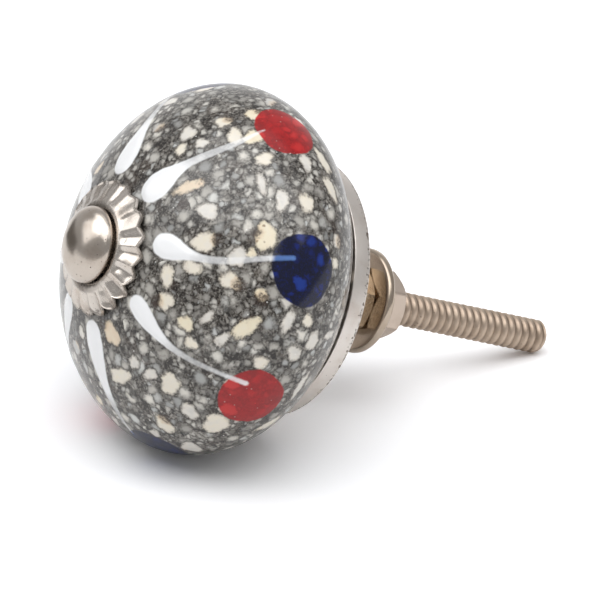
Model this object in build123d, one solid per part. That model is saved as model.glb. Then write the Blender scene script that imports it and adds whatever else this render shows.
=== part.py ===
from build123d import *
import math
import os

# Glazed ceramic cabinet knob on a dome-headed bolt, sizes in millimetres and degrees.
# The bolt's axis is Y. The origin is the centre of the back plate's rear face, which lies against the
# drawer front: the dome is ahead of it, towards -Y, and the thread is behind it, towards +Y.

# Ceramic body
body_radius = 20.8
widest_ahead = 11.8
crown_depth = 14.6
crown_power = 1.85
base_power = 2.0
foot_clearance = 0.15
foot_round = 0.4
curve_spans = 8

# Back plate, a pressed cup
plate_radius = 14.65
plate_height = 2.15
plate_sheet = 0.6
plate_bend = 0.5
plate_rim_round = 0.12

# Petal rosette, a stamped sheet
petal_count = 20
petal_turn = -1.85
petal_tip_radius = 7.7
petal_notch = 0.5
petal_fold = 0.42
petal_root_radius = 5.3
petal_root_dip = 0.5
rosette_sheet = 0.35
rosette_clearance = 0.05
hub_radius = 4.95
hub_lift = 0.3

# Bolt
head_radius = 4.3
head_rim = 0.25
head_seat_radius = 3.5
head_seat_height = 0.3
dome_height = 2.1
thread_radius = 1.95
thread_depth = 0.4
thread_lead_in = 1.5
bolt_reach = 35.2
end_chamfer = 0.6

# Nuts and washer
lock_nut_behind = 5.7
nut_flats = 7.0
nut_height = 3.2
nut_chamfer_angle = 30.0
nut_countersink = 0.3
lock_nut_turn = 14.0
mounting_nut_turn = 25.0
washer_radius = 6.0
washer_thickness = 1.2
washer_round = 0.5

# Clearances, on radius
hole_clearance = 0.2
body_hole_clearance = 0.45
thread_clearance = 0.05

# Places and sizes worked out from the driving dimensions
crown_ahead = widest_ahead + crown_depth
foot_radius = plate_radius - plate_sheet - foot_clearance
body_hole_radius = thread_radius + body_hole_clearance
hub_ahead = crown_ahead + hub_lift + rosette_sheet
head_ahead = hub_ahead + head_seat_height
pitch_radius = thread_radius - thread_depth / 2
clear_hole_radius = thread_radius + hole_clearance
nut_bore_radius = pitch_radius + thread_clearance
washer_behind = lock_nut_behind + nut_height
mounting_nut_behind = washer_behind + washer_thickness
free_thread_behind = mounting_nut_behind + nut_height


def turned(*edges):
    """Solid of revolution about the bolt's axis from a closed outline, drawn as (radius, behind)."""
    return revolve(make_face(Curve() + list(edges)), Axis.Y)


def bulge(radius, power):
    """Height of the body's superellipse over its widest circle at a radius, as a share of its depth."""
    return (1 - (radius / body_radius) ** power) ** (1 / power)


def crown_surface(radius):
    """Distance ahead of the rear face of the ceramic's crown, at a radius."""
    return widest_ahead + crown_depth * bulge(radius, crown_power)


def base_surface(radius):
    """Distance ahead of the rear face of the ceramic's underside, at a radius outside its foot."""
    base_depth = (widest_ahead - plate_height) / bulge(foot_radius, base_power)
    return widest_ahead - base_depth * bulge(radius, base_power)


def curve_radii(start_radius, end_radius):
    """Radii from one to another, evenly spaced by the angle round the bulge."""
    first, last = (math.acos(radius / body_radius) for radius in (start_radius, end_radius))
    angles = [first + (last - first) * i / curve_spans for i in range(curve_spans + 1)]
    return [body_radius * math.cos(angle) for angle in angles]


def ceramic_body():
    """Bulging knob with a flat foot and a straight hole for the bolt."""
    base = [(radius, -base_surface(radius)) for radius in curve_radii(foot_radius, body_radius)]
    crown = [(radius, -crown_surface(radius)) for radius in curve_radii(body_radius, body_hole_radius)]
    bulge_line = Spline(base + crown[1:])
    foot_line = FilletPolyline(
        bulge_line @ 1,
        (body_hole_radius, -plate_sheet),
        (foot_radius, -plate_sheet),
        bulge_line @ 0,
        radius=[0, foot_round],
    )
    return turned(bulge_line, foot_line)


def back_plate():
    """Shallow cup with a flat floor, a bolt hole and a straight wall around the ceramic's foot."""
    inner_radius = plate_radius - plate_sheet
    outline = FilletPolyline(
        (clear_hole_radius, 0),
        (plate_radius, 0),
        (plate_radius, -plate_height),
        (inner_radius, -plate_height),
        (inner_radius, -plate_sheet),
        (clear_hole_radius, -plate_sheet),
        radius=[0, plate_bend, plate_rim_round, plate_rim_round, 0, 0],
        close=True,
    )
    return turned(outline)


def petal_corners():
    """(radius, ahead) of a petal's top corners: hub edge, trough root, tip, and the notch beside it."""
    notch_radius = petal_tip_radius - petal_notch
    lift = rosette_clearance + rosette_sheet
    notch_ahead = crown_surface(notch_radius) + lift + petal_fold
    tip_ahead = crown_surface(petal_tip_radius) + lift
    return (
        (hub_radius, hub_ahead),
        (petal_root_radius, hub_ahead - petal_root_dip),
        (petal_tip_radius, tip_ahead),
        (notch_radius, notch_ahead),
    )


def folded_ring():
    """Closed ring of folded sheet: each petal is a trough between two ridges, its tip on the ceramic."""
    half_pitch = 180 / petal_count
    hub_edge, root, tip, notch = petal_corners()

    def corner(place, angle, drop):
        radius, ahead = place
        turn = math.radians(angle)
        return (radius * math.cos(turn), drop - ahead, radius * math.sin(turn))

    def facet(*corners):
        return Face(Wire.make_polygon(corners, close=True))

    faces = []
    for petal in range(petal_count):
        trough_angle = petal_turn + 2 * half_pitch * petal
        for ridge_angle in (trough_angle - half_pitch, trough_angle + half_pitch):
            skins = []
            for drop in (0, rosette_sheet):
                a, d = (corner(place, ridge_angle, drop) for place in (hub_edge, notch))
                b, c, e = (corner(place, trough_angle, drop) for place in (hub_edge, root, tip))
                faces += [facet(a, b, c), facet(a, c, d), facet(c, d, e)]
                skins.append((a, b, d, e))
            (a, b, d, e), (low_a, low_b, low_d, low_e) = skins
            faces += [facet(a, b, low_b, low_a), facet(d, e, low_e, low_d)]
    return Solid(Shell(faces))


def petal_rosette():
    """Stamped flower washer: a flat hub under the bolt's head, ringed by folded petals."""
    hub_plane = Plane.XZ.offset(hub_ahead)
    hub_outline = RegularPolygon(hub_radius, 2 * petal_count, rotation=petal_turn)
    hub = extrude(hub_plane * (hub_outline - Circle(clear_hole_radius)), -rosette_sheet)
    return hub + folded_ring()


def dome_bolt():
    """Bolt with a dome head on a narrower seat.

    The thread is drawn at its crests, and at its pitch line inside the nuts.
    """
    rim_behind = -head_ahead - head_rim
    dome = EllipticalCenterArc((0, rim_behind), head_radius, dome_height, start_angle=270, arc_size=90)
    shaft = Polyline(
        dome @ 1,
        (head_radius, -head_ahead),
        (head_seat_radius, -head_ahead),
        (head_seat_radius, -hub_ahead),
        (pitch_radius, -hub_ahead),
        (pitch_radius, -thread_lead_in),
        (thread_radius, -thread_lead_in),
        (thread_radius, lock_nut_behind),
        (pitch_radius, lock_nut_behind),
        (pitch_radius, free_thread_behind),
        (thread_radius, free_thread_behind),
        (thread_radius, bolt_reach - end_chamfer),
        (thread_radius - end_chamfer, bolt_reach),
        (0, bolt_reach),
        dome @ 0,
    )
    return turned(dome, shaft)


def hex_nut(behind, turn):
    """Hexagon nut with chamfered corners and a countersunk bore, its front face at the given place."""
    sides = 6
    face_radius = nut_flats / 2
    corner_radius = face_radius / math.cos(math.pi / sides)
    chamfer = (corner_radius - face_radius) * math.tan(math.radians(nut_chamfer_angle))
    mouth_radius = nut_bore_radius + nut_countersink
    rear = behind + nut_height
    blank = turned(
        Polyline(
            (mouth_radius, behind),
            (face_radius, behind),
            (corner_radius, behind + chamfer),
            (corner_radius, rear - chamfer),
            (face_radius, rear),
            (mouth_radius, rear),
            (nut_bore_radius, rear - nut_countersink),
            (nut_bore_radius, behind + nut_countersink),
            close=True,
        )
    )
    hexagon = RegularPolygon(face_radius, sides, major_radius=False, rotation=turn)
    flats = extrude(Plane.XZ.offset(-behind) * hexagon, -nut_height)
    return blank & flats


def washer():
    """Flat washer with a rounded rim, seated on both nuts."""
    outline = FilletPolyline(
        (clear_hole_radius, washer_behind),
        (washer_radius, washer_behind),
        (washer_radius, mounting_nut_behind),
        (clear_hole_radius, mounting_nut_behind),
        radius=[0, washer_round, washer_round, 0],
        close=True,
    )
    return turned(outline)


pieces = {
    "ceramic_body": ceramic_body(),
    "back_plate": back_plate(),
    "petal_rosette": petal_rosette(),
    "dome_bolt": dome_bolt(),
    "lock_nut": hex_nut(lock_nut_behind, lock_nut_turn),
    "washer": washer(),
    "mounting_nut": hex_nut(mounting_nut_behind, mounting_nut_turn),
}

os.makedirs("parts", exist_ok=True)
for name, piece in pieces.items():
    export_step(piece, f"parts/{name}.step")
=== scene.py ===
"""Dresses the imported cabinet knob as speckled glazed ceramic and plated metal, in a white studio.

Lengths are in millimetres and angles in degrees until a mesh is made. A place on the knob is given by its
angle about the bolt, from +X towards +Z, and by its distance ahead of the back plate's rear face, towards -Y.
"""

from __future__ import annotations

import logging
import math
from dataclasses import dataclass
from enum import Enum
from typing import Any, Mapping, Optional, Sequence, Union

import bpy
import numpy as np
from mathutils import Matrix, Vector

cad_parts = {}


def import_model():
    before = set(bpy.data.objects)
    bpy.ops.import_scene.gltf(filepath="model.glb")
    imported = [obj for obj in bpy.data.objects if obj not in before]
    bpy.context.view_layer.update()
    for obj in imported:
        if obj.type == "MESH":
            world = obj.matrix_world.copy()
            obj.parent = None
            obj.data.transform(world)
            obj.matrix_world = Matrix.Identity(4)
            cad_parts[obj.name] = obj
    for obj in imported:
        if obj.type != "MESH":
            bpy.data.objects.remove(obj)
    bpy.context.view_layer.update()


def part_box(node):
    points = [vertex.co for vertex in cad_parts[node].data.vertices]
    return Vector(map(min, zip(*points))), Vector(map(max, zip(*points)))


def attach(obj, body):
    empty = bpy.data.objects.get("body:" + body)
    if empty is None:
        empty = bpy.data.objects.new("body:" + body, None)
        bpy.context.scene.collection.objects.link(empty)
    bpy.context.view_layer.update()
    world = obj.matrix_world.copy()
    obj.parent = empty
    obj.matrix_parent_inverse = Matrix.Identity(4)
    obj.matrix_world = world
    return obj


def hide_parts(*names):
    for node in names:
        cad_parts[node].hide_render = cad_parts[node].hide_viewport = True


LOG = logging.getLogger("cabinet_knob")
MM = 0.001
BODY = "root"
SEED = 20
USUAL_CROWD = 0.35
TINY = 1e-12
# What stands for the depth of a point inside a painted shape where that shape isn't near
FAR_OUTSIDE = -9.0
NOT_NEAR = -50.0
FARTHEST_OUTSIDE = -99.0

Term = Union["Socket", float]
Values = Union[float, np.ndarray]
Range = tuple[float, float]
Colour = tuple[int, int, int]
Ramp = tuple[tuple[float, Colour], ...]


class CadNode(Enum):
    """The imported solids, by name."""

    CERAMIC = "ceramic_body"
    PLATE = "back_plate"
    ROSETTE = "petal_rosette"
    BOLT = "dome_bolt"
    LOCK_NUT = "lock_nut"
    WASHER = "washer"
    MOUNTING_NUT = "mounting_nut"


class Slot(Enum):
    """The record's material slots."""

    CERAMIC = "ceramic"
    NICKEL = "nickel"
    BRASS = "brass"


class Lay(Enum):
    """The way that fine tool marks run on a metal surface."""

    ALONG = "along the bolt"
    AROUND = "around the bolt"
    EVEN = "every way"


class Tone(Enum):
    """The fired colours of a large grain, as places on the glaze's tone ramp."""

    GREY = 0.0
    PALE = 0.25
    CREAM = 0.5
    YELLOW = 0.75
    RUST = 1.0


class Paint(Enum):
    """The two colours of the painted dots, as the values that the glaze reads."""

    RED = 0.0
    BLUE = 1.0


def linear(colour: Colour) -> tuple[float, float, float, float]:
    """Turns a colour as seen on a screen into the linear one that shaders use.

    Args:
        colour: Red, green and blue, from 0 to 255.

    Returns:
        Linear red, green, blue and full alpha.
    """
    shares = [part / 255 for part in colour]
    parts = [share / 12.92 if share <= 0.04045 else ((share + 0.055) / 1.055) ** 2.4 for share in shares]
    return (parts[0], parts[1], parts[2], 1.0)


def grey(level: float) -> tuple[float, float, float, float]:
    """Gives a linear grey of one level."""
    return (level, level, level, 1.0)


class Socket:
    """A node's output that takes part in Python expressions; each operator adds one Math node."""

    def __init__(self, graph: ShaderGraph, output: bpy.types.NodeSocket) -> None:
        """Keeps the graph that new nodes go into, and the output itself."""
        self.graph = graph
        self.output = output

    def __add__(self, other: Term) -> Socket:
        """Adds two values."""
        return self.graph.math("ADD", self, other)

    def __radd__(self, other: Term) -> Socket:
        """Adds a plain number and a value."""
        return self.graph.math("ADD", other, self)

    def __sub__(self, other: Term) -> Socket:
        """Takes a value away."""
        return self.graph.math("SUBTRACT", self, other)

    def __rsub__(self, other: Term) -> Socket:
        """Takes this value away from a plain number."""
        return self.graph.math("SUBTRACT", other, self)

    def __mul__(self, other: Term) -> Socket:
        """Multiplies two values."""
        return self.graph.math("MULTIPLY", self, other)

    def __rmul__(self, other: Term) -> Socket:
        """Multiplies a plain number and a value."""
        return self.graph.math("MULTIPLY", other, self)

    def __lt__(self, other: Term) -> Socket:
        """Gives 1 where this value is the smaller one, otherwise 0."""
        return self.graph.math("LESS_THAN", self, other)

    def __gt__(self, other: Term) -> Socket:
        """Gives 1 where this value is the larger one, otherwise 0."""
        return self.graph.math("GREATER_THAN", self, other)

    def __and__(self, other: Term) -> Socket:
        """Keeps the smaller of two values, which joins two masks."""
        return self.graph.math("MINIMUM", self, other)

    def __or__(self, other: Term) -> Socket:
        """Keeps the larger of two values, which merges two masks."""
        return self.graph.math("MAXIMUM", self, other)

    __rand__ = __and__
    __ror__ = __or__

    def rise(self, low: float, high: float) -> Socket:
        """Goes smoothly from 0 at low to 1 at high.

        Args:
            low: The value that gives 0.
            high: The value that gives 1.

        Returns:
            The eased and clamped value.
        """
        made = self.graph.node(
            "ShaderNodeMapRange",
            {"interpolation_type": "SMOOTHSTEP", "clamp": True},
            {"Value": self, "From Min": low, "From Max": high},
        )
        return Socket(self.graph, made.outputs["Result"])

    def tinted(self, stops: Ramp) -> Socket:
        """Turns the value into a colour.

        Args:
            stops: Places from 0 to 1, each with the colour there.

        Returns:
            The colour on the ramp.
        """
        made = self.graph.node("ShaderNodeValToRGB", {"stops": stops}, {"Fac": self})
        return Socket(self.graph, made.outputs["Color"])


class ShaderGraph:
    """A node tree that is written as expressions."""

    def __init__(self, tree: bpy.types.NodeTree) -> None:
        """Keeps the tree that the nodes go into."""
        self.tree = tree

    def node(
        self,
        kind: str,
        settings: Optional[Mapping[str, Any]] = None,
        sockets: Optional[Mapping[Any, Any]] = None,
    ) -> bpy.types.Node:
        """Adds one node.

        Args:
            kind: The node's type.
            settings: The node's own settings, which are set first; "stops" fills a colour ramp.
            sockets: Values or links for its inputs, by name or number.

        Returns:
            The new node.
        """
        made = self.tree.nodes.new(kind)
        for name, value in (settings or {}).items():
            if name == "stops":
                self.fill_ramp(made.color_ramp, value)
            else:
                setattr(made, name, value)
        for key, value in (sockets or {}).items():
            self.feed(made.inputs[key], value)
        return made

    def fill_ramp(self, ramp: bpy.types.ColorRamp, stops: Ramp) -> None:
        """Sets a colour ramp's stops.

        Args:
            ramp: The ramp of a new node, which has two stops.
            stops: Places from 0 to 1, each with the colour there.
        """
        while len(ramp.elements) < len(stops):
            ramp.elements.new(1.0)
        for element, (place, colour) in zip(ramp.elements, stops):
            element.position = place
            element.color = linear(colour)

    def feed(self, socket: bpy.types.NodeSocket, value: Any) -> None:
        """Links an output to an input, or sets the input to a plain value.

        Args:
            socket: The input.
            value: A socket, or a plain value.
        """
        if isinstance(value, Socket):
            self.tree.links.new(value.output, socket)
        else:
            socket.default_value = value

    def math(self, operation: str, *terms: Term) -> Socket:
        """Adds a Math node.

        Args:
            operation: The node's operation.
            terms: Its inputs, in order.

        Returns:
            Its value.
        """
        made = self.node("ShaderNodeMath", {"operation": operation}, dict(enumerate(terms)))
        return Socket(self, made.outputs[0])

    def vector(self, operation: str, *terms: Any, scale: Optional[Term] = None) -> Socket:
        """Adds a Vector Math node.

        Args:
            operation: The node's operation.
            terms: Its vector inputs, in order.
            scale: The factor of a SCALE operation.

        Returns:
            Its vector, or the value of a dot product.
        """
        sockets: dict[Any, Any] = dict(enumerate(terms))
        if scale is not None:
            sockets["Scale"] = scale
        made = self.node("ShaderNodeVectorMath", {"operation": operation}, sockets)
        return Socket(self, made.outputs["Value" if operation == "DOT_PRODUCT" else "Vector"])

    def mix(self, share: Term, first: Any, second: Any, blend: str = "MIX") -> Socket:
        """Mixes two colours.

        Args:
            share: How much of the second colour shows.
            first: A colour socket, or a linear colour.
            second: A colour socket, or a linear colour.
            blend: The way they mix.

        Returns:
            The mixed colour.
        """
        made = self.node(
            "ShaderNodeMix",
            {"data_type": "RGBA", "blend_type": blend},
            {0: share, 6: first, 7: second},
        )
        return Socket(self, made.outputs[2])

    def place(self) -> Socket:
        """Gives the surface's own place, in millimetres."""
        made = self.node("ShaderNodeTexCoord")
        return self.vector("SCALE", Socket(self, made.outputs["Object"]), scale=1 / MM)

    def axes(self, place: Socket) -> tuple[Socket, Socket, Socket]:
        """Splits a place into its three coordinates."""
        made = self.node("ShaderNodeSeparateXYZ", sockets={"Vector": place})
        return (Socket(self, made.outputs[0]), Socket(self, made.outputs[1]), Socket(self, made.outputs[2]))

    def noise_node(self, place: Socket, size: float, detail: float, rough: float = 0.5) -> bpy.types.Node:
        """Adds soft noise.

        Args:
            place: Where it is read.
            size: The size of its largest swells, in the unit of the place.
            detail: How many finer layers it has.
            rough: How strong the finer layers are.

        Returns:
            The node, with a value about 0.5 and a colour.
        """
        return self.node(
            "ShaderNodeTexNoise",
            {"noise_dimensions": "3D"},
            {"Vector": place, "Scale": 1 / size, "Detail": detail, "Roughness": rough},
        )

    def noise(self, place: Socket, size: float, detail: float = 2.0, rough: float = 0.5) -> Socket:
        """Gives the value of soft noise, about 0.5; noise_node says what it takes."""
        return Socket(self, self.noise_node(place, size, detail, rough).outputs[0])

    def swell(self, place: Socket, size: float, detail: float = 2.0, rough: float = 0.5) -> Socket:
        """Gives the value of soft noise about 0; noise_node says what it takes."""
        return self.noise(place, size, detail, rough) - 0.5

    def drift(self, place: Socket, size: float, amount: float) -> Socket:
        """Shifts a place about by noise, so that cells get uneven outlines.

        Args:
            place: The place to shift.
            size: The size of the swells.
            amount: The largest shift.

        Returns:
            The shifted place.
        """
        swells = Socket(self, self.noise_node(place, size, 1.0).outputs["Color"])
        centred = self.vector("SUBTRACT", swells, (0.5, 0.5, 0.5))
        return self.vector("ADD", place, self.vector("SCALE", centred, scale=2 * amount))

    def cells(self, place: Socket, size: float, feature: str = "F1") -> bpy.types.Node:
        """Adds random cells.

        Args:
            place: Where they are read.
            size: The size of a cell, in the unit of the place.
            feature: What the node measures.

        Returns:
            The node, with its Distance and Color outputs.
        """
        return self.node(
            "ShaderNodeTexVoronoi",
            {"voronoi_dimensions": "3D", "feature": feature},
            {"Vector": place, "Scale": 1 / size},
        )

    def random_values(self, cells: bpy.types.Node) -> tuple[Socket, Socket, Socket]:
        """Gives three random values for each cell, from 0 to 1."""
        made = self.node("ShaderNodeSeparateColor", sockets={"Color": Socket(self, cells.outputs["Color"])})
        return (Socket(self, made.outputs[0]), Socket(self, made.outputs[1]), Socket(self, made.outputs[2]))

    def specks(self, place: Socket, size: float, core: float, edge: float) -> tuple[Socket, Socket]:
        """Gives one round speck for each random cell.

        Args:
            place: Where they are read.
            size: The size of a cell, in the unit of the place.
            core: The radius within which a speck is full, as a share of the cell.
            edge: The radius at which it ends.

        Returns:
            How much of a speck a place has, and a random value of its cell to choose some specks by.
        """
        cells = self.cells(place, size)
        _, pick, _ = self.random_values(cells)
        return 1 - Socket(self, cells.outputs["Distance"]).rise(core, edge), pick

    def attribute(self, name: str) -> Socket:
        """Reads a value that the mesh carries."""
        made = self.node("ShaderNodeAttribute", {"attribute_name": name})
        return Socket(self, made.outputs["Fac"])

    def seen_rays(self, gloss_share: Term) -> Socket:
        """Tells the rays that show a surface from those that only light others.

        Args:
            gloss_share: What rays from a gloss get.

        Returns:
            1 for rays from the camera and through glass, the share for rays from a gloss, otherwise 0.
        """
        path = self.node("ShaderNodeLightPath")
        names = ("Is Camera Ray", "Is Glossy Ray", "Is Transmission Ray")
        camera, gloss, glass = (Socket(self, path.outputs[name]) for name in names)
        return camera | glass | gloss * gloss_share

    def mix_shader(self, share: Socket, first: bpy.types.Node, second: bpy.types.Node) -> bpy.types.Node:
        """Adds a node that shows the second shader in the given share, and otherwise the first."""
        sockets = {0: share, 1: Socket(self, first.outputs[0]), 2: Socket(self, second.outputs[0])}
        return self.node("ShaderNodeMixShader", sockets=sockets)

    def bump(self, height: Socket, depth: float) -> Socket:
        """Turns a height from 0 to 1 into a shading normal.

        Args:
            height: The height.
            depth: What a height of 1 stands for, in millimetres.

        Returns:
            The normal.
        """
        sockets = {"Strength": 1.0, "Distance": depth * MM, "Height": height}
        made = self.node("ShaderNodeBump", sockets=sockets)
        return Socket(self, made.outputs["Normal"])


@dataclass(frozen=True)
class Finish:
    """A surface finish with a material of its own."""

    name: str

    def material(self) -> bpy.types.Material:
        """Makes the finish's material.

        Returns:
            The material, with a Principled shader that the finish has fed.
        """
        made = bpy.data.materials.new(self.name)
        made.use_nodes = True
        graph = ShaderGraph(made.node_tree)
        shader = made.node_tree.nodes["Principled BSDF"]
        for name, value in self.surface(graph).items():
            graph.feed(shader.inputs[name], value)
        return made

    def surface(self, graph: ShaderGraph) -> dict[str, Any]:
        """Gives the shader's inputs by name; each finish has its own."""
        raise NotImplementedError


@dataclass(frozen=True)
class GrainLayer:
    """One size of clay grain: its cell, its darkest and lightest grey, and how many grains show."""

    size: float
    dark: Colour
    light: Colour
    share: float
    crowding: float


@dataclass(frozen=True)
class SpeckledGlaze(Finish):
    """Clear glaze over clay grains in a dark ground, with painted dots and strokes."""

    name: str = "speckled_glaze"
    layers: tuple[GrainLayer, ...] = (
        GrainLayer(0.5, (88, 84, 79), (180, 176, 169), 0.44, 0.3),
        GrainLayer(0.9, (116, 113, 108), (220, 217, 210), 0.4, 0.42),
        GrainLayer(1.5, (150, 147, 142), (238, 234, 225), 0.25, 0.3),
    )
    layer_shift: tuple[float, float, float] = (31.0, 17.0, 53.0)
    roughness: float = 0.13
    ripple_depth: float = 0.02
    ground_ramp: Ramp = (
        (0.34, (28, 25, 23)),
        (0.45, (50, 46, 43)),
        (0.55, (85, 81, 76)),
        (0.68, (150, 145, 138)),
    )
    tone_ramp: Ramp = (
        (Tone.GREY.value, (194, 193, 190)),
        (Tone.PALE.value, (226, 222, 215)),
        (Tone.CREAM.value, (236, 229, 215)),
        (Tone.YELLOW.value, (238, 228, 203)),
        (Tone.RUST.value, (228, 210, 186)),
    )
    red_ramp: Ramp = ((0.0, (136, 16, 20)), (0.1, (153, 20, 24)), (0.4, (177, 27, 30)), (0.9, (202, 46, 45)))
    blue_ramp: Ramp = ((0.0, (7, 11, 36)), (0.2, (9, 17, 56)), (0.5, (14, 31, 100)), (0.9, (28, 60, 146)))
    ground_rust: Colour = (56, 41, 31)
    cool_tint: Colour = (208, 220, 234)
    small_rim: Colour = (100, 96, 91)
    dust: Colour = (70, 65, 60)
    large_rim: Colour = (154, 138, 119)
    stain_tint: Colour = (216, 191, 157)
    stain: Colour = (58, 45, 39)
    rust_spot: Colour = (128, 96, 54)
    clay_glint: Colour = (244, 242, 238)
    dot_glint: Colour = (225, 205, 195)
    white: Colour = (250, 251, 253)
    white_in_blue: Colour = (122, 168, 248)

    def surface(self, graph: ShaderGraph) -> dict[str, Any]:
        """Layers ground, grains, dots and strokes under a glossy glaze.

        Args:
            graph: The material's graph.

        Returns:
            The shader's inputs.
        """
        place = graph.place()
        clay = self.grains(graph, place, self.ground(graph, place))
        painted = self.strokes(graph, place, self.dots(graph, place, clay))
        ripple = graph.noise(place, 1.4, detail=3.0)
        return {
            "Base Color": painted,
            "Roughness": self.roughness + 0.1 * (ripple - 0.5),
            "Normal": graph.bump(ripple, self.ripple_depth),
        }

    def ground(self, graph: ShaderGraph, place: Socket) -> Socket:
        """Gives the dark ground, with fine salt-and-pepper specks and brown patches.

        Args:
            graph: The material's graph.
            place: The surface's place.

        Returns:
            The ground's colour.
        """
        level = graph.noise(place, 0.26, detail=3.0, rough=0.7) + 0.45 * graph.swell(place, 1.3)
        rust = graph.noise(place, 2.6, detail=3.0).rise(0.54, 0.68)
        return graph.mix(0.5 * rust, level.tinted(self.ground_ramp), linear(self.ground_rust))

    def grain_layer(self, graph: ShaderGraph, place: Socket, size: float) -> tuple[Socket, ...]:
        """Measures one layer of rounded grains.

        Args:
            graph: The material's graph.
            place: The surface's place.
            size: The size of a grain's cell.

        Returns:
            How far inside its grain a place is, as a share of the cell, and three random values of the grain.
        """
        near = graph.cells(place, size)
        edge = Socket(graph, graph.cells(place, size, "DISTANCE_TO_EDGE").outputs["Distance"])
        away = Socket(graph, near.outputs["Distance"])
        shade, pick, tint = graph.random_values(near)
        return (1.4 * edge & 0.62 - 0.22 * pick - away, shade, pick, tint)

    def grains(self, graph: ShaderGraph, place: Socket, ground: Socket) -> Socket:
        """Lays fine, small and middling grains over the ground, then the large ones that the mesh carries,
        then painted glints.

        Args:
            graph: The material's graph.
            place: The surface's place.
            ground: The ground's colour.

        Returns:
            The clay's colour.
        """
        uneven = graph.drift(graph.drift(place, 1.1, 0.32), 0.36, 0.1)
        crowd = graph.attribute("crowd") + 0.8 * graph.swell(place, 3.5)
        mottle = graph.noise(place, 0.3, detail=3.0, rough=0.65)
        clay = ground
        for number, layer in enumerate(self.layers):
            shifted = graph.vector("ADD", uneven, tuple(number * part for part in self.layer_shift))
            inside, shade, pick, tint = self.grain_layer(graph, shifted, layer.size)
            inside = inside + 0.5 * (mottle - 0.5)
            shown = pick < layer.share + layer.crowding * crowd
            # Grains lie paler where they lie closer; at the first lump this paints a soft sheen.
            shade = shade + 0.35 * (crowd - USUAL_CROWD)
            colour = shade.tinted(((0.0, layer.dark), (1.0, layer.light)))
            colour = graph.mix(0.5 * tint.rise(0.65, 0.9), colour, linear(self.cool_tint), "MULTIPLY")
            colour = graph.mix(0.4 - 0.4 * inside.rise(0.0, 0.4), colour, linear(self.small_rim))
            clay = graph.mix(0.7 * inside.rise(-0.26, -0.06) * shown, clay, ground)
            clay = graph.mix(inside.rise(-0.12, 0.27) * shown, clay, colour)
        clay = graph.mix(0.5 * (mottle - 0.5) + 0.08, clay, linear(self.dust))
        clay = self.large_grains(graph, place, clay, ground, mottle)
        # Painted glints: tiny white highlights strewn over the clay.
        glint, pick = graph.specks(place, 0.7, 0.07, 0.16)
        return graph.mix(0.8 * glint * (pick > 0.88), clay, linear(self.clay_glint))

    def large_grains(
        self, graph: ShaderGraph, place: Socket, clay: Socket, ground: Socket, mottle: Socket
    ) -> Socket:
        """Lays the large pale grains, some with rust spots and a dark stain beside them.

        Args:
            graph: The material's graph.
            place: The surface's place.
            clay: The colour of the smaller grains.
            ground: The ground's colour.
            mottle: Fine noise.

        Returns:
            The clay's colour.
        """
        inside = graph.attribute("grain") + 0.5 * graph.swell(place, 0.7) + 0.6 * (mottle - 0.5)
        tone = graph.attribute("tone") + 0.4 * graph.swell(place, 0.8)
        stain = graph.attribute("stain") + 1.1 * graph.swell(place, 0.55, detail=3.0, rough=0.6)
        large = tone.tinted(self.tone_ramp)
        large = graph.mix(0.35 - 0.35 * inside.rise(0.0, 0.45), large, linear(self.large_rim))
        large = graph.mix(0.55 * stain.rise(-0.45, 0.05), large, linear(self.stain_tint))
        spot, pick = graph.specks(graph.drift(place, 0.3, 0.1), 0.75, 0.12, 0.34)
        spot = spot * (pick > 0.64) * tone.rise(0.6, 0.75)
        large = graph.mix(0.75 * spot, large, linear(self.rust_spot))
        clay = graph.mix(0.75 * inside.rise(-0.26, -0.08), clay, ground)
        clay = graph.mix(inside.rise(-0.1, 0.26), clay, large)
        dark = stain.rise(-0.1, 0.3) * (0.4 + 0.6 * mottle.rise(0.42, 0.56))
        return graph.mix(0.85 * dark, clay, linear(self.stain))

    def dots(self, graph: ShaderGraph, place: Socket, base: Socket) -> Socket:
        """Lays the painted dots as stained glaze, brighter over pale grains, with painted glints on the red
        ones.

        Args:
            graph: The material's graph.
            place: The surface's place.
            base: The colour beneath.

        Returns:
            The colour with the dots on it.
        """
        light = Socket(graph, graph.node("ShaderNodeRGBToBW", sockets={"Color": base}).outputs[0])
        blue = graph.attribute("paint")
        colour = graph.mix(blue.rise(0.3, 0.7), light.tinted(self.red_ramp), light.tinted(self.blue_ramp))
        # Painted glints: small pale highlights on the red dots.
        glint, pick = graph.specks(place, 0.5, 0.1, 0.24)
        colour = graph.mix(0.3 * glint * (pick > 0.86) * (1 - blue), colour, linear(self.dot_glint))
        inside = (graph.attribute("dot") + 0.25 * graph.swell(place, 0.8)).rise(-0.06, 0.14)
        return graph.mix(inside, base, colour)

    def strokes(self, graph: ShaderGraph, place: Socket, base: Socket) -> Socket:
        """Lays the white teardrop strokes, thinner behind their heads and bluish in a blue dot.

        Args:
            graph: The material's graph.
            place: The surface's place.
            base: The colour beneath.

        Returns:
            The colour with the strokes on it.
        """
        ragged = graph.swell(place, 0.5)
        inside = (graph.attribute("stroke") + 0.12 * ragged).rise(-0.1, 0.18)
        in_dot = graph.attribute("dot").rise(-0.1, 0.5)
        in_blue = in_dot * graph.attribute("paint")
        white = graph.mix(in_blue, linear(self.white), linear(self.white_in_blue))
        thin = graph.attribute("cover")
        cover = (thin + 0.5 * ragged * (1 - thin)) * (1 - (0.1 * in_dot + 0.3 * in_blue))
        return graph.mix(inside * cover, base, white)


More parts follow.
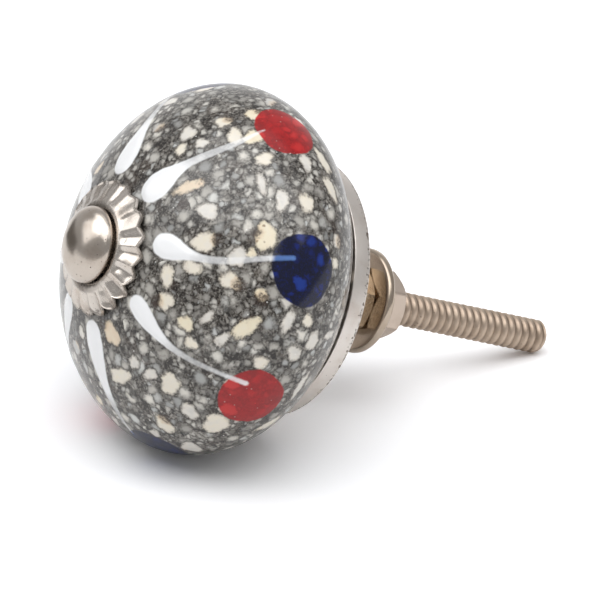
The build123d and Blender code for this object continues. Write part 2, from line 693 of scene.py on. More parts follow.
@dataclass(frozen=True)
class PlatedMetal(Finish):
    """Satin plating over turned or pressed metal, with tool marks, stains, pits, chipped edges and painted
    shade where the mesh marks it.
    """

    colour: Colour
    stain: Colour
    roughness: float
    stain_share: float = 0.4
    lay: Lay = Lay.EVEN
    mark_size: float = 0.4
    mark_depth: float = 0.006
    pit_share: float = 0.1
    pit_colour: Colour = (84, 70, 58)
    # The colour of the painted shade, where the mesh marks shade
    painted_shade: Optional[Colour] = None
    chips: Optional[Colour] = None
    chip_level: float = 0.695
    edge_chips: float = 0.19

    def surface(self, graph: ShaderGraph) -> dict[str, Any]:
        """Mixes the plating's colour and gloss.

        Args:
            graph: The material's graph.

        Returns:
            The shader's inputs.
        """
        place = graph.place()
        marks = self.marks(graph, place)
        cloud = graph.noise(place, 2.4, detail=4.0, rough=0.6)
        colour = graph.mix(self.stain_share * cloud.rise(0.45, 0.75), linear(self.colour), linear(self.stain))
        pit, pick = graph.specks(graph.drift(place, 0.5, 0.1), 0.6, 0.08, 0.17)
        pit = pit * (pick < self.pit_share)
        colour = graph.mix(0.7 * pit, colour, linear(self.pit_colour))
        # Painted shade: darkens what the mesh marks, such as thread grooves, petal troughs and undersides,
        # and the plate's rear.
        if self.painted_shade is not None:
            hollow = graph.attribute("hollow") * (0.6 + 0.8 * (cloud - 0.5))
            colour = graph.mix(hollow, colour, linear(self.painted_shade))
        if self.chips is not None:
            flake = graph.noise(place, 0.32, detail=3.0, rough=0.65)
            chipped = (flake - self.chip_level + self.edge_chips * graph.attribute("edge")).rise(0.0, 0.05)
            colour = graph.mix(chipped, colour, linear(self.chips))
            pit = pit | chipped
        return {
            "Base Color": colour,
            "Metallic": 1.0,
            "Roughness": self.roughness + 0.18 * (marks - 0.5) + 0.14 * (cloud - 0.5) + 0.2 * pit,
            "Normal": graph.bump(marks - 0.6 * pit, self.mark_depth),
        }

    def marks(self, graph: ShaderGraph, place: Socket) -> Socket:
        """Gives the fine tool marks.

        Args:
            graph: The material's graph.
            place: The surface's place.

        Returns:
            A value about 0.5.
        """
        if self.lay is Lay.ALONG:
            place = graph.vector("MULTIPLY", place, (1.0, 0.05, 1.0))
        elif self.lay is Lay.AROUND:
            x, y, z = graph.axes(place)
            radius = graph.math("SQRT", x * x + z * z)
            sway = 0.15 * graph.noise(place, 1.5)
            joined = graph.node("ShaderNodeCombineXYZ", sockets={0: radius + sway, 1: y + sway})
            place = Socket(graph, joined.outputs[0])
        return graph.noise(place, self.mark_size, detail=3.0, rough=0.6)


@dataclass(frozen=True)
class StudioFloor(Finish):
    """White table top that keeps the knob's shadow and is clear from beneath."""

    name: str = "studio_floor"
    lit_colour: float = 0.9
    seen_colour: tuple[float, float, float, float] = (1.23, 1.24, 1.27, 1.0)
    gloss_share: float = 0.2

    def material(self) -> bpy.types.Material:
        """Makes the table's material, which is whiter in what the camera, metal and glass show of it.

        Returns:
            The material.
        """
        made = bpy.data.materials.new(self.name)
        made.use_nodes = True
        graph = ShaderGraph(made.node_tree)
        made.node_tree.nodes.remove(made.node_tree.nodes["Principled BSDF"])
        lit = graph.node("ShaderNodeBsdfDiffuse", sockets={"Color": grey(self.lit_colour)})
        seen = graph.node("ShaderNodeBsdfDiffuse", sockets={"Color": self.seen_colour})
        clear = graph.node("ShaderNodeBsdfTransparent")
        beneath = Socket(graph, graph.node("ShaderNodeNewGeometry").outputs["Backfacing"])
        top = graph.mix_shader(graph.seen_rays(self.gloss_share), lit, seen)
        sided = graph.mix_shader(beneath, top, clear)
        graph.feed(made.node_tree.nodes["Material Output"].inputs["Surface"], Socket(graph, sided.outputs[0]))
        return made


@dataclass(frozen=True)
class CardFelt(Finish):
    """Dull dark felt of the studio's card."""

    name: str = "card_felt"
    colour: Colour = (110, 106, 102)

    def surface(self, graph: ShaderGraph) -> dict[str, Any]:
        """Gives one dull colour."""
        return {"Base Color": linear(self.colour), "Roughness": 1.0}


NICKEL_DOME = PlatedMetal(
    "nickel_dome",
    colour=(200, 190, 180),
    stain=(168, 150, 134),
    roughness=0.2,
    mark_size=0.2,
    pit_share=0.4,
)
NICKEL_THREAD = PlatedMetal(
    "nickel_thread",
    colour=(200, 181, 163),
    stain=(166, 144, 124),
    stain_share=0.5,
    roughness=0.45,
    # The colour of the painted shade in the thread's grooves
    painted_shade=(72, 56, 44),
)
NICKEL_PETALS = PlatedMetal(
    "nickel_petals",
    colour=(212, 204, 196),
    stain=(180, 162, 146),
    roughness=0.26,
    mark_size=0.45,
    mark_depth=0.018,
    # The colour of the painted shade on the hub, in the troughs and under the petals
    painted_shade=(70, 58, 48),
)
NICKEL_PLATE = PlatedMetal(
    "nickel_plate",
    colour=(224, 217, 211),
    stain=(194, 179, 166),
    roughness=0.42,
    lay=Lay.ALONG,
    mark_size=0.5,
    mark_depth=0.005,
    # The colour of the painted shade on the cup's rear face and inner floor
    painted_shade=(74, 60, 48),
    chips=(118, 106, 96),
)
NICKEL_WASHER = PlatedMetal(
    "nickel_washer",
    colour=(188, 173, 157),
    stain=(150, 127, 104),
    roughness=0.2,
    lay=Lay.AROUND,
    mark_size=0.3,
    mark_depth=0.002,
)
NICKEL_NUT = PlatedMetal("nickel_nut", colour=(206, 190, 176), stain=(170, 148, 130), roughness=0.33)
BRASS_NUT = PlatedMetal(
    "brass_nut",
    colour=(203, 187, 165),
    stain=(150, 128, 103),
    stain_share=0.5,
    roughness=0.24,
    mark_depth=0.005,
    pit_share=0.15,
)


def ring_mesh(name: str, rings: np.ndarray, sharp: float = 30.0) -> bpy.types.Object:
    """Makes a closed skin from rings of points about the bolt.

    Args:
        name: The object's name.
        rings: Points in millimetres, by ring and by step round it. The last ring joins the first, unless both
            ends lie on the axis, where each end closes on one point.
        sharp: The angle between faces beyond which their edge stays sharp.

    Returns:
        The object, in metres, smooth apart from its sharp edges.
    """
    count, steps, _ = rings.shape
    on_axis = np.hypot(rings[[0, -1], :, 0], rings[[0, -1], :, 2]).max() < 1e-6
    step = np.arange(steps)
    after = (step + 1) % steps
    if on_axis:
        points = np.concatenate([rings[0, :1], rings[1:-1].reshape(-1, 3), rings[-1, :1]])
        middle = count - 2
        last = len(points) - 1
        base = 1 + (middle - 1) * steps
        caps = [(0, 1 + b, 1 + a) for a, b in zip(step, after)]
        caps += [(last, base + a, base + b) for a, b in zip(step, after)]
        rows = np.arange(middle - 1)
        offset = 1
        following = rows + 1
    else:
        points = rings.reshape(-1, 3)
        caps = []
        rows = np.arange(count)
        offset = 0
        following = (rows + 1) % count
    here = offset + rows[:, None] * steps
    there = offset + following[:, None] * steps
    quads = np.stack([here + step, here + after, there + after, there + step], axis=2).reshape(-1, 4)
    faces = [tuple(quad) for quad in quads.tolist()] + caps
    a, b, c, d = (points[quads[:, corner]] for corner in range(4))
    volume = np.einsum("ij,ij->", a, np.cross(b, c)) + np.einsum("ij,ij->", a, np.cross(c, d))
    if volume < 0:
        faces = [face[::-1] for face in faces]
    mesh = bpy.data.meshes.new(name)
    mesh.from_pydata((points * MM).tolist(), [], faces)
    mesh.shade_smooth()
    mesh.set_sharp_from_angle(angle=math.radians(sharp))
    mesh.validate()
    made = bpy.data.objects.new(name, mesh)
    bpy.context.scene.collection.objects.link(made)
    return made


def about_bolt(radius: Values, ahead: Values, turn: Values) -> np.ndarray:
    """Gives points about the bolt.

    Args:
        radius: Distances from the bolt's axis.
        ahead: Distances ahead of the rear face.
        turn: Angles about the bolt, in radians.

    Returns:
        One point for each set of the three, which broadcast together.
    """
    return np.stack([radius * np.cos(turn), 0 * turn - ahead, radius * np.sin(turn)], axis=-1)


def turned_rings(outline: np.ndarray, steps: int) -> np.ndarray:
    """Turns an outline about the bolt.

    Args:
        outline: Rows of radius and distance ahead.
        steps: How many points a ring has.

    Returns:
        The rings' points.
    """
    turn = np.linspace(0, 2 * math.pi, steps, endpoint=False)
    return about_bolt(outline[:, :1], outline[:, 1:], turn)


def lengths_along(outline: np.ndarray) -> np.ndarray:
    """Gives the distance of each row of an outline from its first row, measured along it."""
    return np.concatenate([[0], np.cumsum(np.linalg.norm(np.diff(outline, axis=0), axis=1))])


def rounded(corners: Sequence[tuple[float, float, float]], spans: int = 5) -> np.ndarray:
    """Rounds the corners of a closed outline.

    Args:
        corners: Radius, distance ahead and rounding of each corner.
        spans: How many spans a rounding gets.

    Returns:
        Rows of radius and distance ahead.
    """
    rows: list[np.ndarray] = []
    places = np.array([corner[:2] for corner in corners])
    for i, (_, _, rounding) in enumerate(corners):
        here, before, after = places[i], places[i - 1], places[(i + 1) % len(places)]
        if rounding == 0:
            rows.append(here)
            continue
        to_before = (before - here) / np.linalg.norm(before - here)
        to_after = (after - here) / np.linalg.norm(after - here)
        half = math.acos(float(np.clip(to_before @ to_after, -1, 1))) / 2
        run = rounding / math.tan(half)
        between = to_before + to_after
        middle = here + between / np.linalg.norm(between) * rounding / math.sin(half)
        start, end = here + to_before * run - middle, here + to_after * run - middle
        sweep = math.pi - 2 * half
        for k in range(spans + 1):
            share = k / spans
            weight = (math.sin((1 - share) * sweep), math.sin(share * sweep))
            rows.append(middle + (start * weight[0] + end * weight[1]) / math.sin(sweep))
    return np.array(rows)


def spaced(outline: np.ndarray, step: float) -> np.ndarray:
    """Divides an open outline into even spans.

    Args:
        outline: Rows of radius and distance ahead.
        step: The longest span.

    Returns:
        The evenly spaced rows.
    """
    run = lengths_along(outline)
    even = np.linspace(0, run[-1], int(math.ceil(run[-1] / step)) + 1)
    return np.stack([np.interp(even, run, outline[:, column]) for column in (0, 1)], axis=1)


def smooth_share(value: np.ndarray, low: float, high: float) -> np.ndarray:
    """Goes smoothly from 0 at low to 1 at high."""
    share = np.clip((value - low) / (high - low), 0, 1)
    return share * share * (3 - 2 * share)


def carry(made: bpy.types.Object, name: str, values: np.ndarray) -> None:
    """Stores one value for each point on a mesh, for its finish to read."""
    carried = made.data.attributes.new(name, "FLOAT", "POINT")
    carried.data.foreach_set("value", values.astype(np.float32).ravel())


def reach(node: CadNode) -> tuple[float, float, float]:
    """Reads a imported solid's size.

    Args:
        node: The solid.

    Returns:
        Its largest radius and how far ahead of the rear face its rear and its front are, in millimetres.
    """
    low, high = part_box(node.value)
    return high.x / MM, -high.y / MM, -low.y / MM


@dataclass
class Piece:
    """What every piece of the knob has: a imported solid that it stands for, a slot and a finish."""

    node: CadNode
    slot: Slot
    finish: Finish

    def make(self) -> bpy.types.Object:
        """Builds the piece, dresses it and sets it on the frame.

        Returns:
            The finished piece.
        """
        made = self.build()
        self.dress(made)
        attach(made, BODY)
        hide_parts(self.node.value)
        LOG.info("%s: %d faces", made.name, len(made.data.polygons))
        return made

    def build(self) -> bpy.types.Object:
        """Builds the piece's mesh; each piece has its own."""
        raise NotImplementedError

    def dress(self, made: bpy.types.Object) -> None:
        """Gives the piece its finish."""
        made.data.materials.append(self.finish.material())


@dataclass(frozen=True)
class Dot:
    """A painted dot on the ceramic: its place, its colour, its two widths and its lean from the meridian."""

    angle: float
    ahead: float
    colour: Paint
    length: float = 7.0
    width: float = 7.8
    lean: float = 0.0


@dataclass(frozen=True)
class Stroke:
    """A teardrop stroke from a round head by the rosette to a thin tail in a dot."""

    head_angle: float
    tail_angle: float
    tail_ahead: float
    head_radius: float = 9.4
    sway: float = 0.0
    curl: float = 0.0
    head: float = 1.45
    taper: float = 0.5
    tail: float = 0.06
    solid_share: float = 0.7

    def half_width(self, along: np.ndarray) -> np.ndarray:
        """Gives half the stroke's width.

        Args:
            along: Shares of the way from its head to its tail.

        Returns:
            One half width for each share.
        """
        narrowing = [share * self.taper for share in (0, 0.12, 0.3, 0.55, 0.8, 1)]
        widths = [0.92, 1, 0.88, 0.6, 0.4, 0.32, 0.22, self.tail]
        return self.head * np.interp(along, [*narrowing, 0.8, 1], widths)

    def cover(self, along: np.ndarray) -> np.ndarray:
        """Gives how well the paint covers: fully in the head, thinly behind it, better again in the tail.

        Args:
            along: Shares of the way from its head to its tail.

        Returns:
            One value for each share, from 0 to 1.
        """
        solid = self.solid_share * self.taper
        behind = (along - solid) / (1 - solid)
        return np.interp(behind, [0, 0.2, 0.42, 0.68, 0.9, 1], [1, 0.6, 0.45, 0.55, 0.78, 0.9])


@dataclass(frozen=True)
class Grain:
    """A large grain in the glaze: its place, its two widths, its lean from the meridian and its colour."""

    angle: float
    ahead: float
    length: float
    width: float
    lean: float = 0.0
    colour: Tone = Tone.CREAM
    stained: bool = False


@dataclass(frozen=True)
class LooseGrains:
    """How the large grains without a set place are strewn: sizes, chances and distances apart.

    Fewer of them lie in view, among the set ones.
    """

    count: int = 90
    ahead: Range = (3.0, 25.0)
    length: Range = (1.4, 2.8)
    width: Range = (1.2, 2.2)
    tone_chances: tuple[float, ...] = (0.2, 0.34, 0.3, 0.12, 0.04)
    stained_chance: float = 0.25
    view: Range = (-85.0, 80.0)
    skipped_in_view: float = 0.55
    apart_in_view: float = 2.3
    apart: float = 2.9
    off_strokes: float = 2.4


DOTS = (
    Dot(54.3, 13.5, Paint.RED, 6.7, 7.4),
    Dot(6.3, 13.0, Paint.BLUE, 7.4, 8.0),
    Dot(-37.9, 13.4, Paint.RED),
    Dot(-86.5, 13.9, Paint.BLUE),
    Dot(-129.0, 13.5, Paint.RED),
    Dot(-171.0, 13.4, Paint.BLUE),
    Dot(144.0, 13.6, Paint.RED),
    Dot(101.0, 14.3, Paint.BLUE),
)

STROKES = (
    Stroke(52.8, 55.0, 15.7, 9.3, -1.2, 1.2, head=1.82, taper=0.36),
    Stroke(10.0, 9.2, 14.4, 9.7, -4.6, -1.2, head=1.46, taper=0.31, tail=0.2),
    Stroke(-35.5, -33.4, 14.9, 9.1, -3.2, -1.2, head=1.25, taper=0.44, tail=0.27),
    Stroke(-91.5, -92.0, 15.6, 9.4, 0.5, head=1.62, taper=0.7),
    Stroke(-132.0, -129.0, 15.2, 9.4, 1.0),
    Stroke(-172.0, -170.0, 14.6, 9.4, -1.5),
    Stroke(146.0, 143.0, 15.4, 9.4, 2.0, head=1.7),
    Stroke(98.6, 108.0, 16.6, 9.8, -1.5, head=1.8, taper=0.55),
)

GRAINS = (
    Grain(70, 21.3, 2.3, 2.0, 20, Tone.PALE),
    Grain(64, 22.3, 1.9, 1.4, 10, Tone.CREAM),
    Grain(60, 21.0, 1.7, 1.5, 0, Tone.PALE),
    Grain(56, 18.5, 1.8, 2.7, 0, Tone.CREAM),
    Grain(53, 17.0, 2.3, 2.2, 0, Tone.YELLOW),
    Grain(43, 16.8, 2.4, 1.6, 0, Tone.CREAM),
    Grain(41, 12.4, 1.6, 2.4, 0, Tone.PALE),
    Grain(44, 9.6, 1.8, 3.4, 25, Tone.CREAM),
    Grain(34, 9.4, 1.6, 3.4, 20, Tone.CREAM),
    Grain(34, 17.5, 1.2, 2.7, 0, Tone.PALE),
    Grain(27, 13.1, 1.7, 2.6, 0, Tone.CREAM),
    Grain(26, 21.8, 2.4, 2.1, -20, Tone.PALE),
    Grain(41, 22.8, 4.4, 1.4, 0, Tone.RUST, True),
    Grain(12, 22.0, 3.0, 2.3, 30, Tone.CREAM, True),
    Grain(15, 17.3, 2.7, 3.1, 20, Tone.YELLOW, True),
    Grain(9, 18.4, 1.2, 1.2, 0, Tone.YELLOW),
    Grain(7, 19.5, 2.3, 2.2, 0, Tone.PALE),
    Grain(0, 22.5, 2.4, 1.6, 0, Tone.CREAM),
    Grain(-8, 23.8, 1.8, 2.8, 0, Tone.CREAM),
    Grain(-2, 19.7, 2.7, 1.8, 0, Tone.CREAM, True),
    Grain(-4, 16.9, 1.5, 1.5, 0, Tone.YELLOW, True),
    Grain(-25, 21.7, 1.9, 1.9, 0, Tone.YELLOW),
    Grain(-21, 23.4, 2.2, 2.0, 0, Tone.CREAM, True),
    Grain(-16, 17.3, 3.7, 1.9, 62, Tone.YELLOW),
    Grain(-10, 13.5, 3.3, 1.3, 77, Tone.PALE),
    Grain(-31, 20.7, 1.7, 1.5, 0, Tone.CREAM),
    Grain(-25, 14.6, 2.0, 1.5, 0, Tone.CREAM),
    Grain(-76, 22.2, 2.2, 3.4, 0, Tone.CREAM),
    Grain(-52, 20.1, 2.4, 3.0, 0, Tone.CREAM),
    Grain(-57, 21.5, 1.5, 2.1, 0, Tone.PALE),
    Grain(-53, 14.5, 3.0, 3.2, 0, Tone.CREAM),
    Grain(-55, 17.3, 2.4, 2.1, 0, Tone.PALE),
    Grain(-70, 24.4, 3.0, 2.4, 0, Tone.RUST, True),
    Grain(-69, 17.4, 2.6, 2.4, 0, Tone.CREAM, True),
    Grain(-49, 8.2, 3.9, 1.8, 39, Tone.CREAM),
    Grain(-31, 8.0, 4.2, 1.4, 83, Tone.PALE),
    Grain(-71, 13.3, 3.0, 2.4, 0, Tone.PALE),
)


@dataclass
class CeramicBody(Piece):
    """The glazed ceramic knob: a bulging turned body on a straight foot, with a hole for the bolt."""

    node: CadNode = CadNode.CERAMIC
    slot: Slot = Slot.CERAMIC
    finish: Finish = SpeckledGlaze()
    widest_ahead: float = 11.8
    crown_depth: float = 14.6
    crown_power: float = 1.85
    base_power: float = 2.0
    base_ahead: float = 2.15
    foot_radius: float = 13.9
    foot_round: float = 0.4
    hole_radius: float = 2.4
    crown_samples: int = 300
    base_samples: int = 200
    span: float = 0.23
    hole_span: float = 2.0
    steps: int = 480
    stroke_height: float = 0.16
    stroke_shoulder: Range = (-0.15, 0.9)
    spine_samples: int = 120
    stroke_reach: float = 14.0
    dot_wander: float = 0.03
    grain_wander: float = 0.1
    oval_step: float = 0.05
    oval_reach: float = 3.0
    grain_seed: int = 50
    stain_seed: int = 400
    stain_size: Range = (0.55, 0.9)
    stain_away: float = 0.45
    stain_slope: float = 0.7
    loose: LooseGrains = LooseGrains()
    crowds_and_sheen: tuple[tuple[float, float, float, float], ...] = (
        # The first lump is partly a painted sheen: grains lie closer and paler where the glaze mirrors a soft
        # light.
        (28.0, 18.0, 7.0, 0.9),
        (-28.0, 19.0, 6.0, 0.3),
        (-62.0, 18.0, 6.0, 0.45),
    )
    loose_crowds: tuple[float, ...] = (110.0, 150.0, 195.0, 235.0)
    loose_crowd_ahead: Range = (9.0, 21.0)
    loose_crowd_size: Range = (5.0, 8.0)
    loose_crowd_amount: Range = (0.3, 0.8)

    def __post_init__(self) -> None:
        """Reads the body's radius and its foot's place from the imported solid."""
        self.radius, self.foot_ahead, _ = reach(self.node)

    def build(self) -> bpy.types.Object:
        """Builds the body with raised strokes, and the values that its glaze reads.

        Returns:
            The body.
        """
        curve = spaced(self.curve(), self.span)
        foot = rounded(
            [
                (self.foot_radius, self.base_ahead, 0),
                (self.foot_radius, self.foot_ahead, self.foot_round),
                (self.hole_radius, self.foot_ahead, 0),
                (self.hole_radius, curve[0, 1], 0),
            ]
        )
        wall = spaced(foot[-2:], self.hole_span)[:-1]
        outline = np.concatenate([curve, foot[1:-2], wall])
        rings = turned_rings(outline, self.steps)
        values = self.paint_values(rings.reshape(-1, 3))
        lift = self.stroke_height * smooth_share(values["stroke"], *self.stroke_shoulder) * values["cover"]
        rings += (lift[:, None] * self.normals(outline)).reshape(rings.shape)
        made = ring_mesh("ceramic_knob", rings)
        for name, value in values.items():
            carry(made, name, value)
        return made

    def bulge(self, radius: Values, power: float) -> np.ndarray:
        """Gives the height of the body's superellipse at a radius, as a share of its depth."""
        return np.maximum(1 - (radius / self.radius) ** power, 0) ** (1 / power)

    def curve(self) -> np.ndarray:
        """Gives the glazed outline from the hole's front edge over the widest circle to the foot.

        Returns:
            Rows of radius and distance ahead.
        """
        first, last = (math.acos(radius / self.radius) for radius in (self.hole_radius, self.foot_radius))
        crown = self.radius * np.cos(np.linspace(first, 0, self.crown_samples))
        base = self.radius * np.cos(np.linspace(0, last, self.base_samples))[1:]
        base_height = self.widest_ahead - self.base_ahead
        base_depth = base_height / self.bulge(self.foot_radius, self.base_power)
        crown_ahead = self.widest_ahead + self.crown_depth * self.bulge(crown, self.crown_power)
        base_ahead = self.widest_ahead - base_depth * self.bulge(base, self.base_power)
        return np.stack([np.concatenate([crown, base]), np.concatenate([crown_ahead, base_ahead])], axis=1)

    def normals(self, outline: np.ndarray) -> np.ndarray:
        """Gives the outward direction at each point of the turned outline.

        Args:
            outline: Rows of radius and distance ahead.

        Returns:
            One unit vector for each point, ring by ring.
        """
        along = np.gradient(outline, axis=0)
        out = np.stack([-along[:, 1], along[:, 0]], axis=1)
        out /= np.linalg.norm(out, axis=1)[:, None] + TINY
        return turned_rings(out, self.steps).reshape(-1, 3)

    def spot(self, angle: Values, ahead: Values) -> np.ndarray:
        """Gives the point of the glazed surface at an angle and a distance ahead.

        Args:
            angle: Angles about the bolt.
            ahead: Distances ahead.

        Returns:
            One point for each pair.
        """
        curve = self.curve()[::-1]
        return about_bolt(np.interp(ahead, curve[:, 1], curve[:, 0]), ahead, np.radians(angle))

    def paint_values(self, points: np.ndarray) -> dict[str, np.ndarray]:
        """Works out how far each point is inside the strokes, dots and large grains.

        Args:
            points: The body's points.

        Returns:
            One value for each point, by name.
        """
        grains = self.all_grains()
        stroke, cover = self.stroke_values(points)
        dot, paint = self.oval_values(points, DOTS, 0, self.dot_wander)
        grain, tone = self.oval_values(points, grains, self.grain_seed, self.grain_wander)
        return {
            "stroke": stroke,
            "cover": cover,
            "dot": dot,
            "paint": paint,
            "grain": grain,
            "tone": tone,
            "stain": self.stain_values(points, grains),
            "crowd": self.crowd_and_sheen_values(points),
        }

    def spine(self, stroke: Stroke, along: np.ndarray) -> np.ndarray:
        """Gives points of a stroke's spine.

        Args:
            stroke: The stroke.
            along: Shares of the way from its head to its tail.

        Returns:
            One point for each share.
        """
        curve = self.curve()
        run = lengths_along(curve)
        crown = slice(self.crown_samples)
        start = np.interp(stroke.head_radius, curve[crown, 0], run[crown])
        end = np.interp(-stroke.tail_ahead, -curve[:, 1], run)
        ahead = np.interp(start + (end - start) * along, run, curve[:, 1])
        angle = stroke.head_angle + (stroke.tail_angle - stroke.head_angle) * along
        bend = stroke.sway * np.sin(math.pi * along) + stroke.curl * np.sin(2 * math.pi * along)
        return self.spot(angle + bend, ahead)

    def stroke_values(self, points: np.ndarray) -> tuple[np.ndarray, np.ndarray]:
        """Measures the strokes as rows of discs along their spines.

        Args:
            points: The body's points.

        Returns:
            How far inside a stroke each point is, and how well the stroke covers there.
        """
        along = np.linspace(0, 1, self.spine_samples)
        inside = np.full(len(points), FAR_OUTSIDE)
        cover = np.zeros(len(points))
        for stroke in STROKES:
            spine = self.spine(stroke, along)
            middle = spine[self.spine_samples // 3]
            near = np.flatnonzero(np.linalg.norm(points - middle, axis=1) < self.stroke_reach)
            depths = stroke.half_width(along) - np.linalg.norm(points[near, None] - spine[None], axis=2)
            depth = depths.max(axis=1)
            deeper = depth > inside[near]
            chosen = near[deeper]
            inside[chosen] = depth[deeper]
            cover[chosen] = stroke.cover(along)[depths.argmax(axis=1)][deeper]
        return inside, cover

    def all_grains(self) -> list[Grain]:
        """Strews the loose grains clear of one another, of the set ones and of the strokes.

        Returns:
            The set grains, then the loose ones.
        """
        loose = self.loose
        draw = np.random.default_rng(SEED)
        tones = list(Tone)
        grains = list(GRAINS)
        taken = [self.spot(grain.angle, grain.ahead) for grain in grains]
        front_half = np.linspace(0, 0.5, 8)
        painted = np.concatenate([self.spine(stroke, front_half) for stroke in STROKES])
        while len(grains) < len(GRAINS) + loose.count:
            angle = draw.uniform(-180, 180)
            ahead = draw.uniform(*loose.ahead)
            length = draw.uniform(*loose.length)
            width = draw.uniform(*loose.width)
            lean = draw.uniform(0, 180)
            tone = tones[draw.choice(len(tones), p=loose.tone_chances)]
            stained = bool(draw.random() < loose.stained_chance)
            place = self.spot(angle, ahead)
            in_view = loose.view[0] < angle < loose.view[1]
            apart = loose.apart_in_view if in_view else loose.apart
            crowded = min(np.linalg.norm(place - other) for other in taken) < apart
            if crowded or (in_view and draw.random() < loose.skipped_in_view):
                continue
            if np.linalg.norm(painted - place, axis=1).min() < loose.off_strokes:
                continue
            taken.append(place)
            grains.append(Grain(angle, ahead, length, width, lean, tone, stained))
        return grains

    def oval_values(
        self, points: np.ndarray, ovals: Sequence[Union[Dot, Grain]], first_seed: int, wander: float
    ) -> tuple[np.ndarray, np.ndarray]:
        """Measures the dots, or the large grains, each with an uneven outline.

        Args:
            points: The body's points.
            ovals: The dots or the grains.
            first_seed: What sets the first one's unevenness; the next ones count on from it.
            wander: How far their outlines wander, as a share of their size.

        Returns:
            How far inside an oval each point is, and the nearest oval's colour value.
        """
        inside = np.full(len(points), FARTHEST_OUTSIDE)
        colour = np.zeros(len(points))
        for seed, oval in enumerate(ovals, first_seed):
            depth = self.inside_oval(points, oval, seed, wander)
            deeper = depth > inside
            inside[deeper] = depth[deeper]
            colour[deeper] = oval.colour.value
        return inside, colour

    def inside_oval(
        self, points: np.ndarray, oval: Union[Dot, Grain], seed: int, wander: float
    ) -> np.ndarray:
        """Measures one uneven oval on the glazed surface.

        Args:
            points: The body's points.
            oval: The dot or the grain.
            seed: What sets its unevenness.
            wander: How far its outline wanders, as a share of its size.

        Returns:
            How far inside the oval each point is.
        """
        half_length, half_width = oval.length / 2, oval.width / 2
        middle = self.spot(oval.angle, oval.ahead)
        rear = self.spot(oval.angle, oval.ahead - self.oval_step) - middle
        rear /= np.linalg.norm(rear)
        turn, tilt = math.radians(oval.angle), math.radians(oval.lean)
        around = np.array([-math.sin(turn), 0, math.cos(turn)])
        offset = points - middle
        u = offset @ (math.cos(tilt) * rear + math.sin(tilt) * around) / half_length
        v = offset @ (-math.sin(tilt) * rear + math.cos(tilt) * around) / half_width
        bearing = np.arctan2(v, u)
        phases = np.random.default_rng(seed).uniform(0, 2 * math.pi, 3)
        waves = zip((2, 3, 5), (1, 0.8, 0.5), phases)
        outline = 1 + wander * sum(size * np.sin(count * bearing + phase) for count, size, phase in waves)
        inside = (outline - np.hypot(u, v)) * min(half_length, half_width)
        inside[np.linalg.norm(offset, axis=1) > self.oval_reach * max(half_length, half_width)] = NOT_NEAR
        return inside

    def stain_values(self, points: np.ndarray, grains: Sequence[Grain]) -> np.ndarray:
        """Measures the dark stains, each at one side of a large grain.

        Args:
            points: The body's points.
            grains: All the large grains.

        Returns:
            How far inside a stain each point is.
        """
        stain = np.full(len(points), FAR_OUTSIDE)
        for seed, grain in enumerate(grains, self.stain_seed):
            if not grain.stained:
                continue
            draw = np.random.default_rng(seed)
            bearing = draw.uniform(0, 2 * math.pi)
            size = draw.uniform(*self.stain_size)
            away = self.stain_away * max(grain.length, grain.width)
            radius = np.hypot(*self.spot(grain.angle, grain.ahead)[[0, 2]])
            angle = grain.angle + math.degrees(away * math.sin(bearing) / radius)
            ahead = grain.ahead - self.stain_slope * away * math.cos(bearing)
            stain = np.maximum(stain, size - np.linalg.norm(points - self.spot(angle, ahead), axis=1))
        return stain

    def crowd_and_sheen_values(self, points: np.ndarray) -> np.ndarray:
        """Gives how closely small grains lie at each point, as usual or closer in some places; the first lump
        also paints a soft sheen.

        Args:
            points: The body's points.

        Returns:
            One value for each point.
        """
        draw = np.random.default_rng(SEED + 1)
        lumps = list(self.crowds_and_sheen)
        ranges = (self.loose_crowd_ahead, self.loose_crowd_size, self.loose_crowd_amount)
        for angle in self.loose_crowds:
            lumps.append((angle, *(draw.uniform(*limits) for limits in ranges)))
        crowd = np.full(len(points), USUAL_CROWD)
        for angle, ahead, size, amount in lumps:
            away = np.linalg.norm(points - self.spot(angle, ahead), axis=1)
            crowd += amount * np.exp(-((away / size) ** 2))
        return crowd


@dataclass
class BackPlate(Piece):
    """The pressed metal cup that the ceramic's foot stands in."""

    node: CadNode = CadNode.PLATE
    slot: Slot = Slot.NICKEL
    finish: Finish = NICKEL_PLATE
    sheet: float = 0.6
    bend: float = 0.3
    rim_round: float = 0.12
    edge_round: float = 0.1
    wall_rows: Range = (0.7, 1.1)
    hole_radius: float = 2.15
    worn_width: float = 0.25
    rear_shade: float = 1.5
    steps: int = 360

    def build(self) -> bpy.types.Object:
        """Builds the cup with a softened rim.

        Returns:
            The plate.
        """
        radius, rear, front = reach(self.node)
        inner = radius - self.sheet
        outline = rounded(
            [
                (self.hole_radius, rear, self.edge_round),
                (radius, rear, self.bend),
                *((radius, rear + height, 0) for height in self.wall_rows),
                (radius, front, self.rim_round),
                (inner, front, self.rim_round),
                (inner, rear + self.sheet, self.edge_round),
                (self.hole_radius, rear + self.sheet, self.edge_round),
            ]
        )
        rings = turned_rings(outline, self.steps)
        made = ring_mesh("plate_cup", rings, sharp=35)
        points = rings.reshape(-1, 3)
        near_edge = np.exp(-(((-points[:, 1] - rear - self.bend) / self.worn_width) ** 2))
        wall = np.hypot(points[:, 0], points[:, 2]) > inner
        carry(made, "edge", near_edge * wall)
        # Painted shade on the cup's rear face and inner floor, away from its wall.
        carry(made, "hollow", self.rear_shade * (~wall))
        return made


@dataclass
class PetalSteps:
    """What differs from step to step round the rosette, with one value for each step.

    The turn is in radians. Across goes from -1 at one crease to 1 at the next, and off from 0 in the trough
    to 1 at a crease. End is the radius where the petal ends. Low side is 1 at the bottom of the rosette.
    """

    turn: np.ndarray
    across: np.ndarray
    off: np.ndarray
    end: np.ndarray
    deep: np.ndarray
    dimple: np.ndarray
    dents: np.ndarray
    # Painted shade: how dark each step's trough is painted, and how much a dimmed petal is darkened.
    trough_darkness: np.ndarray
    dimming: np.ndarray
    low_side: np.ndarray


